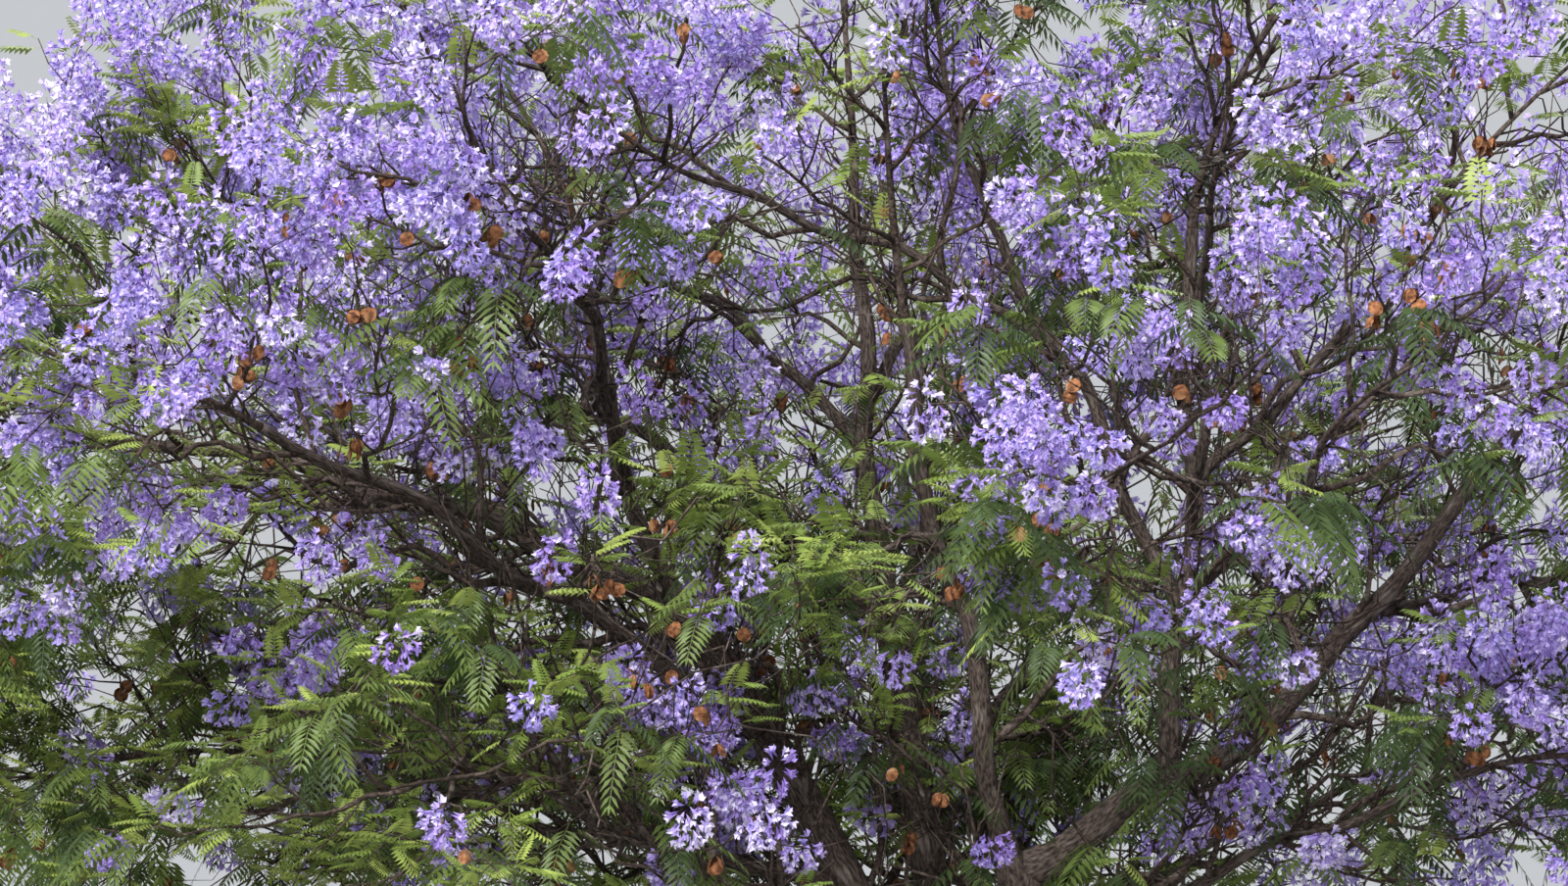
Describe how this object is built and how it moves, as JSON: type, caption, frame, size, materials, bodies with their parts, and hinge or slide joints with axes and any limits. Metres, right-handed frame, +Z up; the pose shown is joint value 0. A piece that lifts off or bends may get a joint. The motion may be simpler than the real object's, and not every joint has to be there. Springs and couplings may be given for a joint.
{
  "type": "jacaranda tree in bloom",
  "caption": "Broad-crowned jacaranda tree in full bloom, forking low into stems, its boughs ending in masses of lilac blossom and feathery leaves.",
  "frame": {"origin": "middle of the flat cut under the trunk, at ground level", "axes": "+Z up; the picture looks along +Y, so +X is its right and -Y faces the viewer"},
  "size_m": [9.5434, 8.5472, 7.2746],
  "materials": {
    "trunk_bark": "rough fissured grey-brown bark",
    "bough_bark": "finely fissured dark grey-brown bark",
    "blossom": "soft matte lilac petals",
    "foliage": "soft matte green leaflets"
  },
  "bodies": {
    "root": {"trunk": "trunk_bark", "stem_left": "bough_bark", "stem_middle": "bough_bark", "stem_right": "bough_bark", "bough_arch": "bough_bark", "bough_back": "bough_bark", "bough_back_high": "bough_bark", "bough_back_high_left": "bough_bark", "bough_back_left": "bough_bark", "bough_back_low": "bough_bark", "bough_back_low_left": "bough_bark", "bough_back_low_right": "bough_bark", "bough_back_right": "bough_bark", "bough_centre_rise": "bough_bark", "bough_cross": "bough_bark", "bough_far_right": "bough_bark", "bough_front": "bough_bark", "bough_front_high": "bough_bark", "bough_front_high_right": "bough_bark", "bough_front_right": "bough_bark", "bough_left_front": "bough_bark", "bough_left_front_low": "bough_bark", "bough_left_low": "bough_bark", "bough_left_side": "bough_bark", "bough_left_sweep": "bough_bark", "bough_left_upright": "bough_bark", "bough_middle_upright": "bough_bark", "bough_right_arm": "bough_bark", "bough_right_back": "bough_bark", "bough_right_high": "bough_bark", "bough_right_low": "bough_bark", "bough_right_upright": "bough_bark", "blossom_arch": "blossom", "blossom_back": "blossom", "blossom_back_high": "blossom", "blossom_back_high_left": "blossom", "blossom_back_left": "blossom", "blossom_back_right": "blossom", "blossom_centre_rise": "blossom", "blossom_cross": "blossom", "blossom_far_right": "blossom", "blossom_front": "blossom", "blossom_front_high": "blossom", "blossom_front_high_right": "blossom", "blossom_front_right": "blossom", "blossom_left_front": "blossom", "blossom_left_side": "blossom", "blossom_left_sweep": "blossom", "blossom_left_upright": "blossom", "blossom_middle_upright": "blossom", "blossom_right_arm": "blossom", "blossom_right_back": "blossom", "blossom_right_high": "blossom", "blossom_right_low": "blossom", "blossom_right_upright": "blossom", "foliage_back_low": "foliage", "foliage_back_low_left": "foliage", "foliage_back_low_right": "foliage", "foliage_left_front_low": "foliage", "foliage_left_low": "foliage"}
  },
  "joints": []
}
